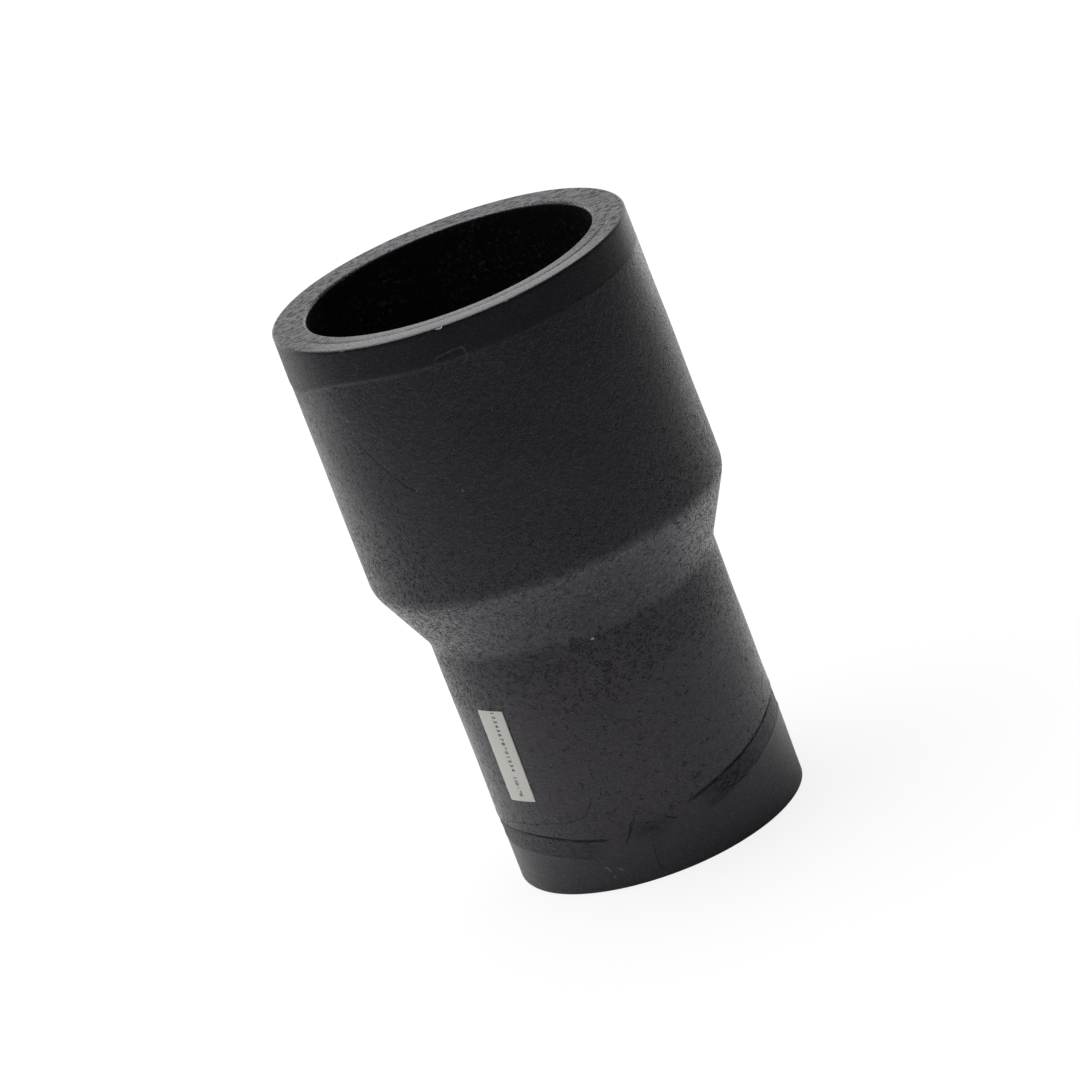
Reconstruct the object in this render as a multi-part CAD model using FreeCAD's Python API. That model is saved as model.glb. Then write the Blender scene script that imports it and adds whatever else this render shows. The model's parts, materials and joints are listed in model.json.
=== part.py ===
import FreeCAD, Part
import os

# Eccentric pipe reducer with two long plain spigots, moulded in one piece from
# black polyethylene, with one adhesive label. Millimetres, +Z up.
# The origin is on the large spigot's axis, in the plane of the small end's face.
# The small spigot's axis lies off it towards +Y, so the +Y side is in line.

# Large spigot
large_od = 110.1            # at the rim
large_wall = 10.4
large_spigot_length = 83.7

# Small spigot
small_od = 90.5
small_wall = 8.5
small_spigot_length = 81.2

# Neck between the spigots
neck_length = 24.0
shoulder_blend = 5.0        # height over which each shoulder is rounded
throat_rise = 3.0           # how much higher the passage narrows than the outside
neck_sections = 17          # circles that each skin of the neck is drawn through

# Swell of the large spigot above its shoulder, tapering away towards the rim
swell_height = 0.5
swell_taper_length = 40.0
swell_straight_length = 8.0

# End faces
rim_break = 0.5             # rounding of the outer edge at both ends
bore_chamfer = 0.65         # chamfer of the bore's edge at both ends

# Identification label on the small spigot
label_length = 30.5
label_width = 10.9
label_thickness = 0.12
label_corner_radius = 0.3
label_middle_height = 47.3
label_azimuth = -142.9      # degrees about the small axis, from +X
label_tilt = 1.3            # degrees, top edge leaning towards +X

# Sizes that follow from those above
large_radius = large_od / 2
large_bore_radius = large_radius - large_wall
small_radius = small_od / 2
small_bore_radius = small_radius - small_wall
axis_offset = large_radius - small_radius
swell_radius = large_radius + swell_height
shoulder_low = small_spigot_length
shoulder_high = shoulder_low + neck_length
total_length = shoulder_high + large_spigot_length
overlap = 1.0               # how far a cutting tool runs past the face that it cuts
tolerance = 1e-6            # within which an edge counts as lying where it is looked for

up = FreeCAD.Vector(0, 0, 1)


def cylinder(radius, low, high, offset):
    """An upright cylinder from low to high, its axis moved by offset along +Y."""
    return Part.makeCylinder(radius, high - low, FreeCAD.Vector(0, offset, low), up)


def taper(low_radius, high_radius, low, high, offset):
    """An upright cone frustum from low to high, its axis moved by offset along +Y."""
    return Part.makeCone(low_radius, high_radius, high - low, FreeCAD.Vector(0, offset, low), up)


def blended_step(fraction, blend_fraction):
    """Goes from 0 to 1 in a straight line with a parabola at each end."""
    slope = 1.0 / (1.0 - blend_fraction)
    if fraction < blend_fraction:
        return slope * fraction ** 2 / (2.0 * blend_fraction)
    if fraction > 1.0 - blend_fraction:
        return 1.0 - slope * (1.0 - fraction) ** 2 / (2.0 * blend_fraction)
    return slope * (fraction - blend_fraction / 2.0)


def neck(low_radius, high_radius, rise):
    """The oblique neck: its circles shrink and move sideways together, shoulders rounded."""
    low = shoulder_low + rise - shoulder_blend / 2.0
    height = neck_length + shoulder_blend
    circles = []
    for index in range(neck_sections):
        fraction = index / (neck_sections - 1.0)
        share = blended_step(fraction, shoulder_blend / height)
        radius = low_radius + (high_radius - low_radius) * share
        centre = FreeCAD.Vector(0, axis_offset * (1.0 - share), low + height * fraction)
        circles.append(Part.Wire(Part.makeCircle(radius, centre, up)))
    return Part.makeLoft(circles, True, False)


def outside():
    """Everything that the outer skin encloses."""
    neck_top = shoulder_high + shoulder_blend / 2.0
    taper_low = neck_top + swell_straight_length
    taper_high = taper_low + swell_taper_length
    solid = cylinder(small_radius, 0.0, shoulder_low - shoulder_blend / 2.0, axis_offset)
    solid = solid.fuse(neck(small_radius, swell_radius, 0.0))
    solid = solid.fuse(cylinder(swell_radius, neck_top, taper_low, 0.0))
    solid = solid.fuse(taper(swell_radius, large_radius, taper_low, taper_high, 0.0))
    return solid.fuse(cylinder(large_radius, taper_high, total_length, 0.0))


def passage():
    """The flow passage, open at both ends, with its chamfered edges."""
    narrow_top = shoulder_low + throat_rise - shoulder_blend / 2.0
    wide_bottom = shoulder_high + throat_rise + shoulder_blend / 2.0
    space = cylinder(small_bore_radius, -overlap, narrow_top, axis_offset)
    space = space.fuse(neck(small_bore_radius, large_bore_radius, throat_rise))
    space = space.fuse(cylinder(large_bore_radius, wide_bottom, total_length + overlap, 0.0))
    low_edge = taper(small_bore_radius + bore_chamfer + overlap, small_bore_radius,
                     -overlap, bore_chamfer, axis_offset)
    high_edge = taper(large_bore_radius, large_bore_radius + bore_chamfer + overlap,
                      total_length - bore_chamfer, total_length + overlap, 0.0)
    return space.fuse(low_edge).fuse(high_edge)


def rim_edges(solid):
    """The two outer circles where the end faces meet the spigots."""
    found = []
    for edge in solid.Edges:
        if isinstance(edge.Curve, Part.Circle):
            height = edge.Curve.Center.z
            if abs(height) < tolerance or abs(height - total_length) < tolerance:
                found.append(edge)
    return found


def reducer_body():
    """The moulding: outer skin, rounded rims and the passage through it."""
    solid = outside()
    solid = solid.makeFillet(rim_break, rim_edges(solid))
    return solid.cut(passage())


def rounded_bar(width, height, corner, depth):
    """A bar along +X with a rounded rectangular section, centred on the X axis."""
    bar = Part.makeBox(depth, width, height, FreeCAD.Vector(0, -width / 2.0, -height / 2.0))
    corners = [edge for edge in bar.Edges
               if abs(edge.tangentAt(edge.FirstParameter).x) > 1.0 - tolerance]
    return bar.makeFillet(corner, corners)


def identification_label():
    """A thin label that follows the small spigot's skin, lying face to face on it."""
    low = label_middle_height - label_length
    high = label_middle_height + label_length
    sleeve = cylinder(small_radius + label_thickness, low, high, axis_offset)
    core = cylinder(small_radius, low, high, axis_offset)
    cutter = rounded_bar(label_width, label_length, label_corner_radius, small_od)
    cutter.rotate(FreeCAD.Vector(0, 0, 0), FreeCAD.Vector(1, 0, 0), -label_tilt)
    cutter.rotate(FreeCAD.Vector(0, 0, 0), up, label_azimuth)
    cutter.translate(FreeCAD.Vector(0, axis_offset, label_middle_height))
    return sleeve.cut(core).common(cutter)


parts = {
    "reducer_body": reducer_body(),
    "identification_label": identification_label(),
}

os.makedirs("parts", exist_ok=True)
for name, shape in parts.items():
    solid = shape.Solids[0]
    print(name, "solids", len(shape.Solids), "valid", solid.isValid(), "volume", round(solid.Volume, 1))
    solid.exportStep("parts/" + name + ".step")
print("length", total_length, "widest", 2.0 * swell_radius, "axis offset", axis_offset)
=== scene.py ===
import json
import math

import bpy
import numpy as np
from mathutils import Matrix, Vector


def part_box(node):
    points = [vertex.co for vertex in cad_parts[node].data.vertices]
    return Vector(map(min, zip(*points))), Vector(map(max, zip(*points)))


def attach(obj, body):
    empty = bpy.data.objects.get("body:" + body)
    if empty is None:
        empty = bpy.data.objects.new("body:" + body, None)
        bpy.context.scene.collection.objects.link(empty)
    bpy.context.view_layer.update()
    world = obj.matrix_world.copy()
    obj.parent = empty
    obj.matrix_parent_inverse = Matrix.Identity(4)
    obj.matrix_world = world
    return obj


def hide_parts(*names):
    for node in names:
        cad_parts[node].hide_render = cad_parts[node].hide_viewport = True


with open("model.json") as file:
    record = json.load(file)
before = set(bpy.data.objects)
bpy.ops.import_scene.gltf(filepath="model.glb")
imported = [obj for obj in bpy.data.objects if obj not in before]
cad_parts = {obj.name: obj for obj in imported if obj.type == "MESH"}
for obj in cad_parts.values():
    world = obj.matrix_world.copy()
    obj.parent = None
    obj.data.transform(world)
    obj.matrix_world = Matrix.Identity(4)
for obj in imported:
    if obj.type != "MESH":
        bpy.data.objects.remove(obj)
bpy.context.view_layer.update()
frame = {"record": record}        # record of the imported part

mm = 0.001
turn = 2 * math.pi

mounts = {mount["name"]: mount for mount in frame["record"]["mounts"]}
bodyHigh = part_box("reducer_body")[1]
labelLow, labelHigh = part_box("identification_label")

pipe = {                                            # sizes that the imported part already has
    "length": bodyHigh.z,
    "largeRadius": mounts["large_spigot"]["dims"]["r_mm"] * mm,
    "smallRadius": mounts["small_spigot"]["dims"]["r_mm"] * mm,
    "largeBore": mounts["large_bore"]["dims"]["r_mm"] * mm,
    "smallBore": mounts["small_bore"]["dims"]["r_mm"] * mm,
    "offset": mounts["small_spigot"]["pos_m"][1],
    "swellRadius": bodyHigh.x,
}


# numpy shapes and meshes

def smooth(value, low, high):                       # 0 below low, 1 above high, 3t^2 - 2t^3 between
    t = np.clip((value - low) / (high - low), 0, 1)
    return t * t * (3 - 2 * t)


def bump(value, middle, width):                     # a bell: exp(-(distance / width)^2)
    return np.exp(-((value - middle) / width) ** 2)


def wrapped(angle):                                 # any angle brought to -pi .. pi
    return (angle + math.pi) % turn - math.pi


def waves(theta, height, seed, count, around, along):
    # sum of sines of random direction and phase: around is the range of waves per turn,
    # along the range of wavelengths
    rng = np.random.default_rng(seed)
    total = np.zeros(np.broadcast(theta, height).shape)
    for _ in range(count):
        perTurn = int(rng.integers(around[0], around[1]))
        length = rng.uniform(along[0], along[1]) * rng.choice([-1, 1])
        total += np.sin(perTurn * theta + turn * height / length + rng.uniform(0, turn))
    return total / math.sqrt(count)


def makeMesh(name, corners, faces, marks=None):     # corners n x 3, faces m x 4; marks: a value per corner
    mesh = bpy.data.meshes.new(name)
    mesh.vertices.add(len(corners))
    mesh.vertices.foreach_set("co", np.ascontiguousarray(corners, np.float32).ravel())
    mesh.loops.add(faces.size)
    mesh.loops.foreach_set("vertex_index", np.ascontiguousarray(faces, np.int32).ravel())
    mesh.polygons.add(len(faces))
    mesh.polygons.foreach_set("loop_start", np.arange(len(faces), dtype=np.int32) * 4)
    mesh.polygons.foreach_set("use_smooth", np.ones(len(faces), bool))
    for mark, values in (marks or {}).items():
        layer = mesh.attributes.new(mark, "FLOAT", "POINT")
        layer.data.foreach_set("value", np.ascontiguousarray(values, np.float32).ravel())
    mesh.update(calc_edges=True)
    mesh.validate()
    piece = bpy.data.objects.new(name, mesh)
    bpy.context.scene.collection.objects.link(piece)
    return piece


def ringFaces(rows, columns):                       # quads of a grid that closes both ways
    row, column = np.meshgrid(np.arange(rows), np.arange(columns), indexing="ij")
    nextRow, nextColumn = (row + 1) % rows, (column + 1) % columns
    quads = np.stack([row * columns + column, row * columns + nextColumn,
                      nextRow * columns + nextColumn, nextRow * columns + column], -1)
    return quads.reshape(-1, 4)


# shader sums written as Python sums

class Wire:                                         # one output socket; + - * / on it add Math nodes
    def __init__(self, sheet, socket):
        self.sheet, self.socket = sheet, socket

    def math(self, operation, *values):
        return self.sheet.add("ShaderNodeMath", {"operation": operation}, dict(enumerate(values)))

    def __add__(self, other):
        return self.math("ADD", self, other)

    def __radd__(self, other):
        return self.math("ADD", other, self)

    def __sub__(self, other):
        return self.math("SUBTRACT", self, other)

    def __rsub__(self, other):
        return self.math("SUBTRACT", other, self)

    def __mul__(self, other):
        return self.math("MULTIPLY", self, other)

    def __rmul__(self, other):
        return self.math("MULTIPLY", other, self)

    def __truediv__(self, other):
        return self.math("DIVIDE", self, other)

    def __rtruediv__(self, other):
        return self.math("DIVIDE", other, self)

    def __pow__(self, other):
        return self.math("POWER", self, other)

    def size(self):                                 # without its sign
        return self.math("ABSOLUTE", self)

    def most(self, other):
        return self.math("MAXIMUM", self, other)

    def least(self, other):
        return self.math("MINIMUM", self, other)

    def ramp(self, low, high, start=0.0, end=1.0):  # smooth step from start at low to end at high
        return self.sheet.add("ShaderNodeMapRange", {"interpolation_type": "SMOOTHSTEP"},
                              {"Value": self, "From Min": low, "From Max": high,
                               "To Min": start, "To Max": end})


class Sheet:                                        # one material's node tree
    def __init__(self, name):
        self.material = bpy.data.materials.new(name)
        self.material.use_nodes = True
        self.tree = self.material.node_tree
        self.tree.nodes.clear()

    def add(self, kind, settings=None, sockets=None, output=0):
        # one node: its settings first, then the values or links of its sockets
        node = self.tree.nodes.new(kind)
        for key, value in (settings or {}).items():
            setattr(node, key, value)
        for key, value in (sockets or {}).items():
            if isinstance(value, Wire):
                self.tree.links.new(value.socket, node.inputs[key])
            elif value is not None:
                node.inputs[key].default_value = value
        return Wire(self, node.outputs[output])

    def place(self):                                # the Object coordinates of the shaded point
        return self.add("ShaderNodeTexCoord", output="Object")

    def parts(self, vector):
        node = self.add("ShaderNodeSeparateXYZ", sockets={"Vector": vector}).socket.node
        return [Wire(self, socket) for socket in node.outputs]

    def vector(self, x, y, z):
        return self.add("ShaderNodeCombineXYZ", sockets={"X": x, "Y": y, "Z": z})

    def mark(self, name):                           # a float that the mesh carries at its corners
        return self.add("ShaderNodeAttribute", {"attribute_name": name}, output="Fac")

    def noise(self, where, scale, detail, roughness=0.5):
        return self.add("ShaderNodeTexNoise", {"noise_dimensions": "3D"},
                        {"Vector": where, "Scale": scale, "Detail": detail, "Roughness": roughness})

    def angle(self, y, x):                          # round the axis, from +X, in radians
        return self.add("ShaderNodeMath", {"operation": "ARCTAN2"}, {0: y, 1: x})

    def cells(self, where, scale):                  # distance to the nearest random point
        return self.add("ShaderNodeTexVoronoi", {"feature": "F1"},
                        {"Vector": where, "Scale": scale}, "Distance")

    def blend(self, amount, first, second):         # colours mixed by a value
        node = self.tree.nodes.new("ShaderNodeMix")
        node.data_type = "RGBA"
        colourIn = [socket for socket in node.inputs if socket.type == "RGBA"]
        for socket, value in ((node.inputs[0], amount), (colourIn[0], first), (colourIn[1], second)):
            if isinstance(value, Wire):
                self.tree.links.new(value.socket, socket)
            else:
                socket.default_value = value
        return Wire(self, [socket for socket in node.outputs if socket.type == "RGBA"][0])

    def vectors(self, operation, first, second=None, output=0):
        return self.add("ShaderNodeVectorMath", {"operation": operation}, {0: first, 1: second}, output)

    def away(self, flat, start, end):
        # distance to the line from start to end: |p - a - d t|, where t = (p - a).d / d.d held in 0 .. 1
        step = Vector(end) - Vector(start)
        rest = self.vectors("SUBTRACT", flat, tuple(start))
        share = self.vectors("DOT_PRODUCT", rest, tuple(step / step.length_squared), "Value")
        share = share.most(0.0).least(1.0)
        foot = self.add("ShaderNodeVectorMath", {"operation": "SCALE"}, {0: tuple(step), "Scale": share})
        return self.vectors("LENGTH", self.vectors("SUBTRACT", rest, foot), output="Value")

    def strokes(self, flat, lines, radius, width):
        # each line's strength on it, 0 further than width away, on an unrolled spigot
        strongest = None
        for strength, line in [arc(radius, *mark) for mark in lines]:
            places = [(radius * math.radians(angle), height * mm, 0.0) for angle, height in line]
            nearest = None
            for start, end in zip(places, places[1:]):
                distance = self.away(flat, start, end)
                nearest = distance if nearest is None else nearest.least(distance)
            stroke = nearest.ramp(width * 0.2, width, strength, 0.0)
            strongest = stroke if strongest is None else strongest.most(stroke)
        return strongest

    def surface(self, fixed, varying):              # the surface shader: set sockets, then linked ones
        node = self.tree.nodes.new("ShaderNodeBsdfPrincipled")
        for key, value in fixed.items():
            node.inputs[key].default_value = value
        for key, wire in varying.items():
            self.tree.links.new(wire.socket, node.inputs[key])
        return Wire(self, node.outputs[0])

    def finish(self, shader):
        output = self.tree.nodes.new("ShaderNodeOutputMaterial")
        self.tree.links.new(shader.socket, output.inputs["Surface"])
        return self.material


white = (1.0, 1.0, 1.0, 1.0)


# the moulded body: one closed surface, a profile carried round the pipe axis

body = {
    "columns": 480,
    "edgeRows": np.array([-1.0, -0.8, -0.6, -0.45, -0.3, -0.15, 0.0,
                          0.15, 0.3, 0.5, 0.75, 1.1, 1.7, 2.6]) * mm,
    "bandRows": np.array([-4.5, -2.5, -1.2, -0.5, -0.2, 0.05, 0.3, 0.8]) * mm,
    "bendReach": 2.6 * mm,                          # rows stand close this far from a shoulder's middle
    "neckLow": 81.2 * mm,                           # height of the lower shoulder
    "neckHigh": 105.2 * mm,                         # height of the upper shoulder
    "shoulderBlend": 5.0 * mm,
    "throatRise": 3.0 * mm,                         # the passage narrows this much higher
    "rimRound": 0.5 * mm,
    "boreChamfer": 0.65 * mm,
    "swellTop": 115.7 * mm,                         # from here the large skin draws in towards the band
    "bandEdge": 178.5 * mm,                         # height where the turned band at the rim ends
    "bandDip": 4.6 * mm,                            # it dips this much on the -X side
    "bandDipAt": math.radians(-170),
    "bandDipSpread": math.radians(20),
    "bandWander": 0.12 * mm,
    "bandStepLow": -0.6 * mm,                       # the step up to the band runs between these
    "bandStepHigh": 0.5 * mm,
    "bandProud": 0.09 * mm,
    "bandLean": -0.16 * mm,                         # the turned band is off centre along X
    "endEdge": 21.5 * mm,                           # height of the turned low end's edge, at -X and behind
    "endRise": 8 * mm,                              # it climbs this much on the +X side
    "endRiseAt": math.radians(-10),
    "endRiseSpread": math.radians(40),
    "endSink": 5 * mm,                              # and sinks this much in front
    "endSinkAt": math.radians(-105),
    "endSinkSpread": math.radians(30),
    "endFlare": 0.12 * mm,
    "endStepLow": -0.2 * mm,                        # the step down to the turned end runs between these
    "endStepHigh": 0.5 * mm,
    "skinProud": 0.07 * mm,                         # the small skin stands this proud of the nominal pipe
    "bulge": 0.05 * mm,                             # and swells a little more under the neck
    "bulgeHeight": 72 * mm,
    "bulgeSpread": 10 * mm,
    "lip": 0.26 * mm,                               # and this much more where it ends above the turned end
    "lipFade": 5.0 * mm,
    "notch": 0.20 * mm,                             # depth of the cut right under the lip
    "notchWidth": 0.27 * mm,
    "notchDrop": 0.35 * mm,                         # its middle lies this far under the edge
    "tornWidth": 6.9 * mm,                          # the leathery strip under the lip
    "tornDepth": 0.12 * mm,
    "tornFade": 0.9 * mm,
    "tornPatch": 0.6,                               # least strength of the leather where it thins out
    "tornRidge": 0.14 * mm,                         # a low ridge along its lower side
    "calmFrom": math.radians(-112),                 # between these the skin runs out smoothly, with no lip
    "calmTo": math.radians(-77),
    "calmFade": 0.07,                               # radians over which the lip fades there
    "foldAt": math.radians(-95),                    # the skin is folded and torn here
    "foldSpread": math.radians(8),
    "foldHeight": 16 * mm,
    "foldReach": 3.4 * mm,
    "foldShare": 0.75,
    "raggedAt": math.radians(-172),                 # and ragged here, under the band
    "raggedSpread": math.radians(20),
    "raggedReach": 4 * mm,
    "raggedShare": 0.8,
    "skinWaves": 0.05 * mm,                         # height of the slow waves outside
    "boreWaves": 0.04 * mm,                         # and inside
    "grooveRadius": 49.35 * mm,
    "grooveWidth": 0.45 * mm,
    "grooveDepth": 0.28 * mm,
    "faceSteps": np.array([0.02, 0.08, 0.25, 0.75, 0.92, 0.985])[:, None],
    "grooveSteps": np.array([-1.2, -0.6, -0.2, 0.2, 0.6, 1.2])[:, None],
}


def neckShare(height, rise=0.0):                    # 0 below the neck, 1 above: a line between two parabolas
    span = body["neckHigh"] - body["neckLow"] + body["shoulderBlend"]
    t = np.clip((height - body["neckLow"] - rise + body["shoulderBlend"] / 2) / span, 0, 1)
    b = body["shoulderBlend"] / span
    slope = 1 / (1 - b)
    line = slope * (t - b / 2)
    line = np.where(t < b, slope * t ** 2 / (2 * b), line)
    return np.where(t > 1 - b, 1 - slope * (1 - t) ** 2 / (2 * b), line)


def bandEdge(theta):                                # height of the turned band's edge round the rim
    dip = bump(wrapped(theta - body["bandDipAt"]), 0, body["bandDipSpread"])
    return body["bandEdge"] - body["bandDip"] * dip + body["bandWander"] * np.sin(5 * theta + 1)


def endEdge(theta):                                 # height of the turned low end's edge: a rise and a sink
    rise = body["endRise"] * bump(wrapped(theta - body["endRiseAt"]), 0, body["endRiseSpread"])
    sink = body["endSink"] * bump(wrapped(theta - body["endSinkAt"]), 0, body["endSinkSpread"])
    return body["endEdge"] + rise - sink


def outerRows():                                    # nominal heights, close together at edges and bends
    end, top, length = body["endEdge"], body["bandEdge"], pipe["length"]
    low, high, reach = body["neckLow"], body["neckHigh"], body["bendReach"]
    rounding = body["rimRound"] * (1 - np.cos(np.linspace(0, math.pi / 2, 5)))
    stretches = [
        rounding,
        np.linspace(1.6 * mm, end - 8.0 * mm, 8),
        np.linspace(end - 7.2 * mm, end - 1.3 * mm, 15),
        end + body["edgeRows"],
        np.linspace(end + 4 * mm, low - 4.5 * mm, 13),
        np.linspace(low - reach, low + reach, 8),
        np.linspace(low + 4.5 * mm, high - 4.5 * mm, 8),
        np.linspace(high - reach, high + reach, 11),
        np.linspace(high + 5 * mm, top - 7 * mm, 22),
        top + body["bandRows"],
        np.linspace(top + 2.2 * mm, length - 1.4 * mm, 7),
        length - rounding[::-1],
    ]
    return np.concatenate(stretches)[:, None]


def between(theta, fadeOut, fadeIn, fadeEnd):       # 1 on the calm stretch, fading at each side of it
    start = smooth(theta, body["calmFrom"] - fadeOut, body["calmFrom"] + fadeIn)
    return start * (1 - smooth(theta, body["calmTo"] - fadeIn, body["calmTo"] + fadeEnd))


def tornMark(theta, height, row, belowEdge, calm):
    # how leathery the skin is: a strip under the lip, patchy by five waves, and a fold in front
    end, width = body["endEdge"], body["tornWidth"]
    strip = belowEdge * (1 - smooth(end - row, width - body["tornFade"], width))
    patchy = smooth(waves(theta, 0 * theta, 4, 5, (1, 5), (1, 2)), -0.6, 0.5)
    patchy = body["tornPatch"] + (1 - body["tornPatch"]) * patchy
    folds = bump(theta, body["foldAt"], body["foldSpread"])
    folds = folds * bump(height, body["foldHeight"], body["foldReach"])
    return np.maximum(strip * patchy * (1 - calm), body["foldShare"] * folds)


def outerSkin(theta):
    # radius, height and centre of the outer skin on the grid of nominal heights and angles:
    # rows near the turned edges follow them, and the radius goes from small to large by the neck's share
    row = outerRows()
    theta = wrapped(theta)
    end, top, length = body["endEdge"], body["bandEdge"], pipe["length"]
    followEnd = smooth(row, 2 * mm, end - 7.5 * mm) * (1 - smooth(row, end + 3 * mm, 52 * mm))
    followTop = smooth(row, 150 * mm, top - 5 * mm) * (1 - smooth(row, top + 1 * mm, length - 0.6 * mm))
    height = row + followEnd * (endEdge(theta) - end) + followTop * (bandEdge(theta) - top)
    share = neckShare(height)

    drawn = np.clip((height - body["swellTop"]) / (top - body["swellTop"]), 0, 1)
    large = pipe["swellRadius"] + (pipe["largeRadius"] - pipe["swellRadius"]) * drawn
    aboveBand = smooth(row, top + body["bandStepLow"], top + body["bandStepHigh"])
    rimPart = np.clip((height - top) / (length - top), -0.5, 1)
    band = pipe["largeRadius"] + body["bandProud"] * (1 - rimPart) + body["bandLean"] * np.cos(theta)
    large = large + (band - large) * aboveBand

    bulge = body["bulge"] * bump(height, body["bulgeHeight"], body["bulgeSpread"])
    small = pipe["smallRadius"] + body["skinProud"] + bulge
    calm = between(theta, body["calmFade"], body["calmFade"], body["calmFade"])
    lip = body["lip"] * (1 - calm) * np.exp(-np.clip(row - end, 0, 1) / body["lipFade"])
    belowEdge = 1 - smooth(row, end + body["endStepLow"], end + body["endStepHigh"])
    turned = pipe["smallRadius"] + body["endFlare"] * np.clip(height / end, 0, 1.2)
    small = small + lip + (turned - small - lip) * belowEdge
    notch = (1 - calm) * bump(row, end - body["notchDrop"], body["notchWidth"])
    small = small - body["notch"] * notch
    radius = small + (large - small) * share

    calmSoft = between(theta, 0.20, 0.05, 0.30)
    torn = tornMark(theta, height, row, belowEdge, calmSoft)
    leather = np.abs(waves(theta, height, 11, 26, (50, 110), (1.0 * mm, 2.2 * mm)))
    radius = radius - body["tornDepth"] * torn * (1.2 - leather)
    ridge = (1 - calmSoft) * bump(row, end - body["tornWidth"], 0.4 * mm) * (1 - share)
    radius = radius + body["tornRidge"] * ridge
    radius = radius + body["skinWaves"] * waves(theta, height, 21, 14, (2, 12), (25 * mm, 70 * mm))
    ragged = bump(wrapped(theta - body["raggedAt"]), 0, body["raggedSpread"])
    ragged = ragged * bump(row, top - 1 * mm, body["raggedReach"])
    torn = np.maximum(torn, body["raggedShare"] * ragged)
    neck = smooth(height, body["neckLow"] - 0.4 * mm, body["neckLow"] + 2.0 * mm)
    neck = neck * (1 - smooth(height, body["neckHigh"] - 0.5 * mm, body["neckHigh"] + 0.4 * mm))

    # rounded outer edges: the radius loses r - sqrt(r^2 - (r - d)^2) at d from an end
    fromEnd = np.minimum(row, length - row)
    edge = np.clip(1 - fromEnd / body["rimRound"], 0, 1)
    radius = radius - body["rimRound"] * (1 - np.sqrt(1 - edge ** 2))
    centre = pipe["offset"] * (1 - share)
    marks = {"turned": np.maximum(belowEdge, aboveBand), "torn": torn, "inner": 0, "face": 0,
             "notch": notch, "neck": neck}
    return radius, height, centre, marks


def endFace(theta, outer, bore, height, upwards):   # a flat turned ring between the outer edge and the bore
    span = outer - bore
    middle = (outer - body["grooveRadius"]) / span if upwards else 0.5 + 0 * span
    near = body["grooveWidth"] / span
    steps = np.vstack([body["faceSteps"] + 0 * span, body["grooveSteps"] * near + middle])
    steps = np.sort(steps, 0)
    radius = outer - span * steps + 0 * theta
    height = height + 0 * radius
    groove = 0 * radius
    if upwards:
        front = smooth(-np.sin(theta), 0.02, 0.30)
        groove = front * bump(radius, body["grooveRadius"], body["grooveWidth"] / 2)
        height = height - body["grooveDepth"] * groove
    else:
        radius = radius[::-1]
    marks = {"turned": 1, "torn": 0, "inner": 0, "face": 1, "notch": groove, "neck": 0}
    return radius, height, 0 * radius, marks


def innerSkin(theta):                               # the passage, from the large end down to the small one
    length, chamfer, rise = pipe["length"], body["boreChamfer"], body["throatRise"]
    low, high, reach = body["neckLow"] + rise, body["neckHigh"] + rise, body["bendReach"]
    row = np.concatenate([
        length - chamfer * np.array([0.0, 0.5, 1.0, 1.6]),
        np.linspace(length - 4 * mm, high + 4.5 * mm, 11),
        np.linspace(high + reach, high - reach, 7),
        np.linspace(high - 5 * mm, low + 5 * mm, 6),
        np.linspace(low + reach, low - reach, 7),
        np.linspace(low - 5 * mm, 4 * mm, 9),
        chamfer * np.array([1.6, 1.0, 0.5, 0.0]),
    ])[:, None]
    share = neckShare(row, rise)
    radius = pipe["smallBore"] + (pipe["largeBore"] - pipe["smallBore"]) * share + 0 * theta
    fromEnd = np.minimum(row, length - row)
    radius = radius + np.clip(chamfer - fromEnd, 0, chamfer)
    uneven = waves(theta, row, 31, 10, (2, 9), (30 * mm, 80 * mm)) * smooth(fromEnd, 1 * mm, 9 * mm)
    radius = radius + body["boreWaves"] * uneven
    inner = smooth(fromEnd, 0.4 * mm, 1.2 * mm)
    marks = {"turned": 0, "torn": 0, "inner": inner, "face": 0, "notch": 0, "neck": 0}
    return radius, row + 0 * radius, pipe["offset"] * (1 - share) + 0 * radius, marks


def makeBody():                                     # outer skin, top face, passage and low face, as one ring
    theta = (np.arange(body["columns"]) / body["columns"] * turn)[None, :]
    skin = outerSkin(theta)
    passage = innerSkin(theta)
    topOuter, topBore = skin[0][-1:], passage[0][:1]
    lowOuter, lowBore = skin[0][:1], passage[0][-1:]
    topFace = endFace(theta, topOuter, topBore, pipe["length"], True)
    lowFace = endFace(theta, lowOuter, lowBore, 0.0, False)
    lowFace = (lowFace[0], lowFace[1], lowFace[2] + pipe["offset"], lowFace[3])
    stretches = [skin, topFace, passage, lowFace]
    radius = np.vstack([s[0] for s in stretches])
    height = np.vstack([s[1] + 0 * s[0] for s in stretches])
    centre = np.vstack([s[2] + 0 * s[0] for s in stretches])
    corners = np.stack([radius * np.cos(theta), centre + radius * np.sin(theta), height], -1).reshape(-1, 3)
    marks = {name: np.vstack([s[3][name] + 0 * s[0] for s in stretches]) for name in skin[3]}
    return makeMesh("moulded_body", corners, ringFaces(len(radius), body["columns"]), marks)


print("body mesh")
mouldedBody = makeBody()
print("body faces", len(mouldedBody.data.polygons))


# black polyethylene; shades are shares of a dull dark skin, painted shade in pits, creases and notches; bumps
# are heights in millimetres

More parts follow.
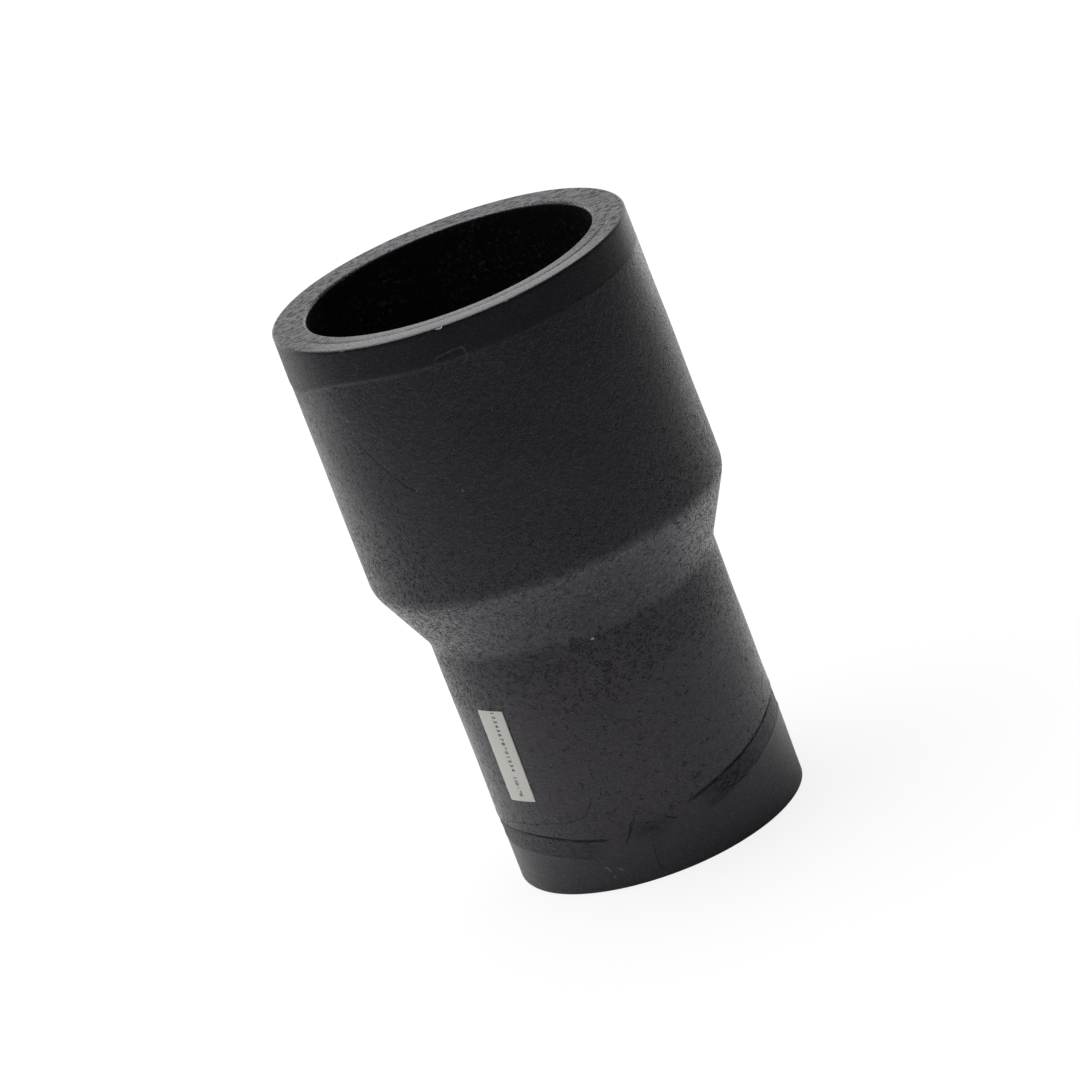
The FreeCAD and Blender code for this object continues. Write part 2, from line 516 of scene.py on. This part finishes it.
plastic = {
    "colour": (0.0072, 0.0066, 0.0080, 1.0),
    "paleColour": (0.0180, 0.0166, 0.0194, 1.0),
    "bandColour": (0.0030, 0.0028, 0.0036, 1.0),
    # painted light: the neck's pale colour stands in for bounce light from the floor under it, on a slightly
    # smoother finish
    "neckColour": (0.1000, 0.0960, 0.1040, 1.0),
    "faceColour": (0.026, 0.026, 0.028, 1.0),
    "facePale": (0.075, 0.075, 0.078, 1.0),
    # the dull dark skin, used as painted shade and for dull marks
    "hollowColour": (0.0016, 0.0015, 0.0020, 1.0),
    "speckColour": (0.52, 0.52, 0.50, 1.0),
    "dustyColour": (0.018, 0.018, 0.024, 1.0),      # of the speckle in the passage
    "tint": (1.0, 0.94, 1.04, 1.0),
    "roughness": 0.26,
    "ior": 1.52,
    "hollowGloss": 0.04,
    "hollowRoughness": 0.7,

    "grainScale": 2300,                             # noise scales: cells per metre
    "wormScale": 1150,
    "swellScale": 480,
    "cloudScale": 42,
    "curlScale": 760,
    "pitScale": 520,
    "leatherScale": 520,
    "leatherSquash": 2.3,                           # its marks are this much longer round the pipe
    "scourScale": 430,
    "scourSquash": 2.2,
    "cutScale": 1500,
    "cutDrift": 0.12,
    "ringScale": 2400,
    "dustScale": 95,
    "dustPatchScale": 60,
    "dustyScale": 800,
    "dustyPatchScale": 48,
    "wobbleScale": 320.0,
    "wobble": 1.6 * mm,

    "veinShade": 0.24,
    "veinFlank": 0.12,
    "veinNeck": 0.12,
    "stainShade": 0.09,
    "bandShade": 0.18,
    # painted shade in pits, more of it at the flanks and on the neck, in the notch and in the leather's
    # cavities
    "pitShade": 0.52,
    "pitFlank": 0.28,
    "pitNeck": 0.20,
    "notchShade": 0.52,
    "cavityShade": 0.44,
    "mottleShade": 0.24,
    "mottleBack": 0.52,

    "shoulderPits": 0.14,                           # how much likelier pits are near the shoulders
    "neckPits": 0.12,
    "neckFlankPits": 0.06,
    "flankPits": 0.06,
    "cloudPits": 0.04,

    "creaseWidth": 0.36 * mm,
    "scratchWidth": 0.40 * mm,
    "threadWidth": 0.28 * mm,
    "scuffWidth": 0.26 * mm,
    "speckWidth": 0.36 * mm,
    "brightSpeckWidth": 0.62 * mm,

    "grainBump": 0.032,
    "wormBump": 0.08,
    "veinBump": 0.015,
    "swellBump": 0.09,
    "pitBump": 0.09,
    "lineBump": 0.05,
    "leatherBump": 0.75,
    "ringBump": 0.012,
    "paleBump": 0.05,
    "scourBump": 0.10,
    "cutBump": 0.04,

    "wormRough": 0.25,                              # how much each mark changes the roughness
    "grainRough": 0.20,
    "cloudRough": 0.10,
    "neckRough": 0.22,
    "neckFlankRough": 0.25,
    "tornRough": 0.10,
    "scourRough": 0.5,
    "backRough": 0.10,
    "turnedRough": 0.07,
}

# marks of handling, dents with painted shade in them, each an arc: strength, degrees round the axis, mm up,
# heading, mm long, turn;
# the heading is in degrees from level, and the stroke turns steadily by turn on its way
creases = {
    "small": [
        (0.45, -175, 22, 9, 42, -12),               # over the lip, with a curled end
        (0.45, -123, 24, 5, 11, 65),
        (0.22, -78, 31, -8, 40, 14),
        (0.70, -101, 20, -120, 7, 0),               # folds in front
        (0.60, -101, 19, -126, 5, 0),
        (0.40, -98, 23, -120, 4, 0),
        (0.30, -97, 24, -42, 9, 0),
        (0.75, -88, 18, -32, 3, 0),
        (0.45, -96, 11, -100, 8, 14),               # a crack near the end
        (0.20, -165, 65, -15, 14, 20),              # on both sides of the label
        (0.30, -97, 59, -80, 17, 88),
        (0.60, -26, 29, 75, 13, -70),               # nicks on the +X side
        (0.45, -30, 36, -64, 8, 0),
        (0.35, -26, 66, 14, 10, 0),
    ],
    "large": [
        (0.55, -142, 163, -62, 26, 20),             # one long scratch
        (0.35, -152, 128, -56, 8, 0),
    ],
}
threads = [                                         # pale shavings near the rim, and nicks on its edge
    (0.09, -104, 180, 20, 9, -25),
    (0.09, -95, 181, -30, 6, -150),
    (0.07, -132, 181, -30, 6, 180),
    (0.95, -100, 188.5, 0, 1.5, 0),
    (0.22, -133, 188.5, 0, 1, 0),
    (0.22, -78, 188.5, 0, 1, 0),
]
scuffs = [                                          # pale nicks on the turned low end
    (0.20, -117, 8, -57, 2, 0),
    (0.30, -115, 4.5, -50, 0.5, 0),
    (0.25, -112, 6.5, -32, 1, 0),
]
speck = {
    "count": 6,
    "seed": 5,
    "length": 0.1,
    "strengths": (0.1, 0.45),
    "angles": (-145, -60),
    "heights": (118, 168),
    "underNeck": 3,                                 # the bright one lies this many mm under the neck
}


def arc(radius, strength, angle, height, heading, length, turn):
    # equal steps whose headings turn evenly; a straight mark is one step
    count = 4 if turn else 1
    headings = np.radians(heading + turn * (np.arange(count) + 0.5) / count)
    across = np.degrees(np.cumsum(np.cos(headings)) * length / count * mm / radius)
    up = np.cumsum(np.sin(headings)) * length / count
    return strength, [(angle, height)] + [(angle + a, height + b) for a, b in zip(across, up)]


def looseSpecks():                                  # at random places on the large spigot
    draw = np.random.default_rng(speck["seed"])
    strengths = draw.uniform(*speck["strengths"], speck["count"])
    angles = draw.uniform(*speck["angles"], speck["count"])
    heights = draw.uniform(*speck["heights"], speck["count"])
    return [(s, a, h, 0, speck["length"], 0) for s, a, h in zip(strengths, angles, heights)]


def brightSpeck():
    return [(1.0, -90, body["neckLow"] / mm - speck["underNeck"], 0, speck["length"], 0)]


def blackPolyethylene():
    s = Sheet("black_polyethylene")
    p = plastic
    place = s.place()
    x, y, z = s.parts(place)
    turned, torn, inner, face = s.mark("turned"), s.mark("torn"), s.mark("inner"), s.mark("face")
    notch, neck = s.mark("notch"), s.mark("neck")
    moulded = (1 - turned) * (1 - face)
    outside = (1 - inner) * (1 - face)
    flank = (x.size() / pipe["smallRadius"]).ramp(0.55, 1.0)          # 1 at both sides, 0 in front and behind
    back = y.ramp(-42 * mm, -18 * mm)
    upper = z.ramp(100 * mm, 120 * mm)                                # 1 on the large spigot

    # the two spigots unrolled flat, with a little wobble so that no line is straight
    wobble = s.add("ShaderNodeTexNoise", {},
                   {"Vector": place, "Scale": p["wobbleScale"], "Detail": 2.0}, "Color")
    wobble = s.vectors("SUBTRACT", wobble, (0.5, 0.5, 0.5))
    wobble = s.vectors("MULTIPLY", wobble, (p["wobble"], p["wobble"], 0.0))
    smallAngle = s.angle(y - pipe["offset"], x)
    largeAngle = s.angle(y, x)
    smallFlat = s.vectors("ADD", s.vector(smallAngle * pipe["smallRadius"], z, 0.0), wobble)
    largeFlat = s.vectors("ADD", s.vector(largeAngle * pipe["largeRadius"], z, 0.0), wobble)
    smallLines = s.strokes(smallFlat, creases["small"], pipe["smallRadius"], p["creaseWidth"])
    largeLines = s.strokes(largeFlat, creases["large"], pipe["largeRadius"], p["scratchWidth"])
    # creases and the scratch: dents with painted shade in them
    lines = (smallLines * z.ramp(79 * mm, 80 * mm, 1, 0)).most(largeLines) * outside

    # noises of the skin, from the finest tooth to broad clouds
    grain = s.noise(place, p["grainScale"], 2, 0.65)
    worm = s.noise(place, p["wormScale"], 2, 0.6)
    veins = (worm - 0.5).size().ramp(0.0, 0.09, 1.0, 0.0)             # thin curling lines
    swells = s.noise(place, p["swellScale"], 2, 0.5)
    stains = swells.ramp(0.50, 0.68) * moulded
    clouds = s.noise(place, p["cloudScale"], 2, 0.5)
    leather = s.noise(s.vector(x, y, z * p["leatherSquash"]), p["leatherScale"], 2, 0.6)
    # the leather's hollows, which get painted shade
    cavities = leather.ramp(0.46, 0.58) * torn

    # pits: pieces of curling line, where a patchy noise and their density let them through; each is a small
    # dent with painted shade in it, denser at the flanks
    onLarge = (z - body["neckHigh"] - 6 * mm).size().ramp(4 * mm, 26 * mm, 1.0, 0.0)
    onSmall = (z - body["neckLow"] + 9 * mm).size().ramp(4 * mm, 18 * mm, 1.0, 0.0)
    density = onLarge.most(onSmall) * p["shoulderPits"] * (1 - neck) + clouds * p["cloudPits"]
    density = density + neck * (p["neckPits"] + flank * p["neckFlankPits"]) + flank * p["flankPits"]
    curls = (s.noise(place, p["curlScale"], 2, 0.6) - 0.5).size().ramp(0.01, 0.06, 1.0, 0.0)
    pits = curls * (s.noise(place, p["pitScale"], 2, 0.6) + density).ramp(0.61, 0.71) * moulded

    # pale marks: shavings, nicks, specks and loose dust
    pale = s.strokes(largeFlat, threads, pipe["largeRadius"], p["threadWidth"])
    nicks = s.strokes(smallFlat, scuffs, pipe["smallRadius"], p["scuffWidth"])
    nicks = nicks * z.ramp(30 * mm, 31 * mm, 1, 0)
    pale = pale.most(nicks)
    pale = pale.most(s.strokes(largeFlat, looseSpecks(), pipe["largeRadius"], p["speckWidth"]))
    bright = s.strokes(smallFlat, brightSpeck(), pipe["smallRadius"], p["brightSpeckWidth"])
    pale = pale.most(bright)
    dust = s.cells(place, p["dustScale"]).ramp(0.012, 0.022, 1.0, 0.0)
    dust = dust * s.noise(place, p["dustPatchScale"], 0).ramp(0.55, 0.60)
    pale = (pale * outside).most(dust * 0.6 * (1 - inner))

    # tool marks: rings on the turned spigots, arcs and blotches on the faces
    radius = ((x * x) + (y * y)) ** 0.5
    rings = (s.noise(s.vector(0.0, 0.0, z), p["ringScale"], 1) - 0.5) * turned * (1 - face)
    cuts = s.noise(s.vector(radius, y * p["cutDrift"], x * p["cutDrift"]), p["cutScale"], 2, 0.6)
    scour = s.noise(s.vector(x, y * p["scourSquash"], z), p["scourScale"], 3, 0.65)
    mottle = face * scour.ramp(0.46, 0.57) * (p["mottleShade"] + back * p["mottleBack"])

    tone = (worm + grain * 0.6 + clouds * 0.3 - 0.45).ramp(0.28, 0.72)
    base = s.blend(tone, p["colour"], p["paleColour"])
    base = s.blend(turned * upper * (1 - tone * 0.4), base, p["bandColour"])
    # painted light on the neck: its pale colour stands in for the floor's bounce light, on a slightly
    # smoother finish
    base = s.blend(neck * (0.25 + tone * 0.75), base, p["neckColour"])
    base = s.blend(face, base, s.blend(scour.ramp(0.36, 0.66), p["faceColour"], p["facePale"]))
    base = s.blend(pale, base, p["speckColour"])

    rough = p["roughness"] + (worm - 0.5) * p["wormRough"] * moulded
    rough = rough + (grain - 0.5) * p["grainRough"] + (clouds - 0.5) * p["cloudRough"]
    rough = rough + neck * (p["neckRough"] - flank * p["neckFlankRough"]) + torn * p["tornRough"]
    rough = rough + face * ((scour - 0.5) * p["scourRough"] + back * p["backRough"])
    rough = rough + turned * (1 - face) * p["turnedRough"]

    relief = grain * p["grainBump"] + worm * p["wormBump"] + rings * p["ringBump"] + pale * p["paleBump"]
    relief = relief + (swells * p["swellBump"] - veins * p["veinBump"]) * moulded
    relief = relief - pits * p["pitBump"] - lines * p["lineBump"] + (leather - 0.5) * torn * p["leatherBump"]
    relief = relief + face * (scour * p["scourBump"] * (0.3 + back) + cuts * p["cutBump"])
    normal = s.add("ShaderNodeBump", {}, {"Strength": 1.0, "Distance": mm, "Height": relief}, "Normal")

    # painted shade: how far the glossy skin gives way to a dull dark one in pits, creases, notches and
    # cavities; veins, stains, band and face mottle dull it too
    shadeAndDullMarks = veins * (p["veinShade"] + flank * p["veinFlank"] + neck * p["veinNeck"])
    shadeAndDullMarks = shadeAndDullMarks + stains * p["stainShade"]
    shadeAndDullMarks = shadeAndDullMarks + turned * upper * p["bandShade"]
    # painted shade in the pits and in the creases
    shadeAndDullMarks = shadeAndDullMarks.most(pits * (p["pitShade"] + flank * p["pitFlank"] + neck * p["pitNeck"])).most(lines)
    # painted shade in the notch, the top face's groove and the leather's cavities; the face mottle is dulled
    # too
    shadeAndDullMarks = shadeAndDullMarks.most(notch * p["notchShade"]).most(cavities * p["cavityShade"]).most(mottle)
    # the passage: its whole skin is the dull dark one, painted shade, with a lighter speckle in patches
    passageSpeckle = s.noise(place, p["dustyScale"], 3, 0.7).ramp(0.52, 0.72)
    passageSpeckle = passageSpeckle * s.noise(place, p["dustyPatchScale"], 1).ramp(0.38, 0.62, 0.25, 1.0)
    shade = s.blend(passageSpeckle * inner, p["hollowColour"], p["dustyColour"])

    skin = s.surface({"IOR": p["ior"], "Specular Tint": p["tint"]},
                     {"Base Color": base, "Roughness": rough, "Normal": normal})
    dull = {"IOR": p["ior"], "Specular IOR Level": p["hollowGloss"], "Roughness": p["hollowRoughness"]}
    dark = s.surface(dull, {"Base Color": shade, "Normal": normal})
    # inner marks the passage, which is wholly painted shade
    mixed = s.add("ShaderNodeMixShader", {}, {0: inner.most(shadeAndDullMarks * (1 - pale)), 1: skin, 2: dark})
    return s.finish(mixed)


print("body material")
mouldedBody.data.materials.append(blackPolyethylene())
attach(mouldedBody, "root")
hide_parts("reducer_body")


# the label: a thin curved sheet with plain numbers

label = {
    "length": 30.5 * mm,
    "width": 10.9 * mm,
    "thickness": 0.12 * mm,
    "corner": 0.3 * mm,
    "azimuth": math.radians(-142.9),
    "tilt": math.radians(1.3),
    "skinRadius": pipe["smallRadius"] + 0.16 * mm,
    "columns": 22,
    "rows": 60,
    "colour": (0.72, 0.71, 0.67, 1.0),
    "stainColour": (0.60, 0.59, 0.55, 1.0),
    "inkColour": (0.015, 0.015, 0.018, 1.0),
}
label["height"] = (labelLow.z + labelHigh.z) / 2


def onSpigot(across, along, lift):                  # a flat place on the label, wrapped round the spigot
    turned = across * math.cos(label["tilt"]) + along * math.sin(label["tilt"])
    height = label["height"] + along * math.cos(label["tilt"]) - across * math.sin(label["tilt"])
    angle = label["azimuth"] + turned / label["skinRadius"]
    radius = label["skinRadius"] + lift
    return np.stack([radius * np.cos(angle), pipe["offset"] + radius * np.sin(angle), height], -1)


def makeLabel():
    # outline: a rectangle whose half width loses corner - sqrt(corner^2 - (corner - d)^2) at d from an end
    half, corner = label["length"] / 2, label["corner"]
    along = np.concatenate([-half + corner * (1 - np.cos(np.linspace(0, math.pi / 2, 6))),
                            np.linspace(-half + 2 * corner, half - 2 * corner, label["rows"]),
                            half - corner * (1 - np.cos(np.linspace(math.pi / 2, 0, 6)))])[:, None]
    reach = np.clip(corner - (half - np.abs(along)), 0, corner)
    halfWidth = label["width"] / 2 - (corner - np.sqrt(corner ** 2 - reach ** 2))
    across = np.linspace(-1, 1, label["columns"])[None, :] * halfWidth
    upper = onSpigot(across, along + 0 * across, label["thickness"])
    lower = onSpigot(across, along + 0 * across, -0.05 * mm)
    rows, columns = across.shape
    loop = np.concatenate([upper, lower[:, ::-1]], 1)                      # each section: top, then underside
    count = 2 * columns
    row, column = np.meshgrid(np.arange(rows - 1), np.arange(count), indexing="ij")
    nextColumn = (column + 1) % count
    sides = np.stack([row * count + column, row * count + nextColumn,
                      (row + 1) * count + nextColumn, (row + 1) * count + column], -1).reshape(-1, 4)
    step = np.arange(columns - 1)
    firstCap = np.stack([step, count - 1 - step, count - 2 - step, step + 1], -1)
    lastCap = (rows - 1) * count + np.stack([step, step + 1, count - 2 - step, count - 1 - step], -1)
    return makeMesh("label_sheet", loop.reshape(-1, 3), np.concatenate([sides, firstCap, lastCap]))


def makeNumbers(name, text, size, across, along):   # digits along the label, wrapped onto it as thin solids
    curve = bpy.data.curves.new(name, "FONT")
    curve.body, curve.size, curve.align_x, curve.align_y = text, size, "CENTER", "CENTER"
    curve.extrude, curve.offset = 0.5, 0.03 * size
    flat = bpy.data.objects.new(name, curve)
    bpy.context.scene.collection.objects.link(flat)
    bpy.context.view_layer.update()
    mesh = bpy.data.meshes.new_from_object(flat)
    bpy.data.objects.remove(flat)
    points = np.zeros(len(mesh.vertices) * 3)
    mesh.vertices.foreach_get("co", points)
    points = points.reshape(-1, 3)
    lift = np.where(points[:, 2] > 0, label["thickness"] + 0.015 * mm, label["thickness"] - 0.03 * mm)
    placed = onSpigot(across + points[:, 1], along - points[:, 0], lift)
    mesh.vertices.foreach_set("co", placed.ravel())
    mesh.update()
    piece = bpy.data.objects.new(name, mesh)
    bpy.context.scene.collection.objects.link(piece)
    return piece


def labelFilm():
    s = Sheet("label_film")
    place = s.place()
    fibre = s.noise(place, 1800, 3, 0.6)
    stain = s.noise(place, 160, 2, 0.5)
    base = s.blend(fibre * 0.25 + stain * 0.2, label["colour"], label["stainColour"])
    rough = 0.5 + (fibre - 0.5) * 0.3
    normal = s.add("ShaderNodeBump", {},
                   {"Strength": 0.25, "Distance": 0.03 * mm, "Height": fibre}, output="Normal")
    return s.finish(s.surface({"IOR": 1.45}, {"Base Color": base, "Roughness": rough, "Normal": normal}))


def labelInk():
    s = Sheet("label_ink")
    wear = s.noise(s.place(), 2500, 2, 0.6)
    base = s.blend(wear.ramp(0.45, 0.75) * 0.3, label["inkColour"], (0.16, 0.16, 0.16, 1.0))
    return s.finish(s.surface({"IOR": 1.45}, {"Base Color": base, "Roughness": 0.45 + wear * 0.2}))


print("label")
labelSheet = makeLabel()
labelSheet.data.materials.append(labelFilm())
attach(labelSheet, "root")
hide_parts("identification_label")
ink = labelInk()
for name, text, size, across, along in (
        ("label_numbers_row", "1 2 3 4 5 6 7 8 9 0 1 2 3 4", 1.9 * mm, 0.9 * mm, 5.0 * mm),
        ("label_numbers_sizes", "110 - 90", 2.0 * mm, 0.3 * mm, -10.2 * mm)):
    numbers = makeNumbers(name, text, size, across, along)
    numbers.data.materials.append(ink)
    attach(numbers, "root")


# floor, light and camera

studio = {
    "floorRadius": 6.0,
    "floorColour": (0.82, 0.82, 0.82, 1.0),
    "floorGlow": 1.04,                              # the white that the camera sees in place of the lit floor
    "floorShow": 0.20,                              # share of the lit floor, with its shadow, near the object
    "floorShine": 0.60,                             # share of that white in gloss on the object, near it
    "backShine": 0.46,                              # the same, further behind it on the left
    "fill": 0.04,
}


def makeFloor():
    reach = studio["floorRadius"]
    corners = np.array([[-reach, -reach, 0], [reach, -reach, 0], [reach, reach, 0], [-reach, reach, 0]])
    floor = makeMesh("floor", corners, np.array([[0, 1, 2, 3]]))
    s = Sheet("pale_floor")
    lit = s.add("ShaderNodeBsdfDiffuse", {}, {"Color": studio["floorColour"]})
    glow = s.add("ShaderNodeEmission", {}, {"Color": white, "Strength": studio["floorGlow"]})
    x, y, z = s.parts(s.place())
    reach = ((x * x) + (y * y)) ** 0.5
    shown = reach.ramp(0.06, 0.30, studio["floorShow"], 0.0)
    seen = s.add("ShaderNodeLightPath", output="Is Camera Ray") * (1 - shown)
    shine = reach.ramp(0.14, 0.30, studio["floorShine"], 0.0) * reach.ramp(0.06, 0.10)
    behind = y.ramp(0.12, 0.28) * reach.ramp(0.26, 0.38) * x.ramp(-0.16, 0.14, studio["backShine"], 0.14)
    gloss = s.add("ShaderNodeLightPath", output="Is Glossy Ray") * shine.most(behind)
    mixed = s.add("ShaderNodeMixShader", {}, {0: seen.most(gloss), 1: lit, 2: glow})
    floor.data.materials.append(s.finish(mixed))
    return floor


def makeWorld():                                    # white to the camera, a dim fill for everything else
    world = bpy.data.worlds.new("studio")
    world.use_nodes = True
    tree = world.node_tree
    tree.nodes.clear()
    lit = tree.nodes.new("ShaderNodeBackground")
    seen = tree.nodes.new("ShaderNodeBackground")
    lit.inputs["Strength"].default_value = studio["fill"]
    lit.inputs["Color"].default_value = white
    seen.inputs["Color"].default_value = white
    path = tree.nodes.new("ShaderNodeLightPath")
    mixed = tree.nodes.new("ShaderNodeMixShader")
    output = tree.nodes.new("ShaderNodeOutputWorld")
    tree.links.new(path.outputs["Is Camera Ray"], mixed.inputs[0])
    tree.links.new(lit.outputs[0], mixed.inputs[1])
    tree.links.new(seen.outputs[0], mixed.inputs[2])
    tree.links.new(mixed.outputs[0], output.inputs["Surface"])
    bpy.context.scene.world = world


def softPanel(name, place, aim, width, height, glow):    # an area lamp whose face shines at glow
    lamp = bpy.data.lights.new(name, "AREA")
    lamp.shape, lamp.size, lamp.size_y = "RECTANGLE", width, height
    lamp.energy = glow * math.pi * width * height
    panel = bpy.data.objects.new(name, lamp)
    turned = (Vector(aim) - Vector(place)).to_track_quat("-Z", "Y")
    panel.matrix_world = Matrix.Translation(place) @ turned.to_matrix().to_4x4()
    panel.visible_camera = False
    bpy.context.scene.collection.objects.link(panel)
    return panel


view = {
    "distance": 1.9305,
    "lens": 216.6,
    "sensor": 36.0,
    "elevation": math.radians(18.07),
    "roll": math.radians(-21.21),
    "aimRight": -5.526 * mm,
    "aimUp": 4.190 * mm,
}


def makeCamera():
    back = Vector((0, -math.cos(view["elevation"]), math.sin(view["elevation"])))
    right = Vector((1, 0, 0))
    up = back.cross(right)
    side = right * math.cos(view["roll"]) + up * math.sin(view["roll"])
    top = up * math.cos(view["roll"]) - right * math.sin(view["roll"])
    aim = Vector((0, 0, pipe["length"] / 2)) + side * view["aimRight"] + top * view["aimUp"]
    data = bpy.data.cameras.new("camera")
    data.lens, data.sensor_width = view["lens"], view["sensor"]
    camera = bpy.data.objects.new("camera", data)
    place = aim + back * view["distance"]
    camera.matrix_world = Matrix((
        (side.x, top.x, back.x, place.x),
        (side.y, top.y, back.y, place.y),
        (side.z, top.z, back.z, place.z),
        (0, 0, 0, 1)))
    bpy.context.scene.collection.objects.link(camera)
    bpy.context.scene.camera = camera


print("studio")
makeFloor()
makeWorld()
middle = Vector((0, 0, pipe["length"] / 2))
softPanel("top_panel", (-0.08, 0.0, 0.55), (-0.08, 0.0, 0.0), 0.5, 0.5, 5.1)
softPanel("left_panel", (-0.55, 0.05, 0.55), (-0.55, 0.05, 0.0), 0.5, 0.5, 0.8)
softPanel("back_panel", (0.0, 1.10, 0.50), middle, 1.8, 0.7, 1.3)
softPanel("back_left_card", (-0.382, 0.489, 0.20), (0.0, 0.0, 0.16), 0.55, 0.26, 1.38)
softPanel("back_right_card", (0.291, 0.547, 0.16), (0.0, 0.0, 0.16), 0.42, 0.32, 1.20)
makeCamera()
bpy.context.scene.view_settings.view_transform = "Standard"
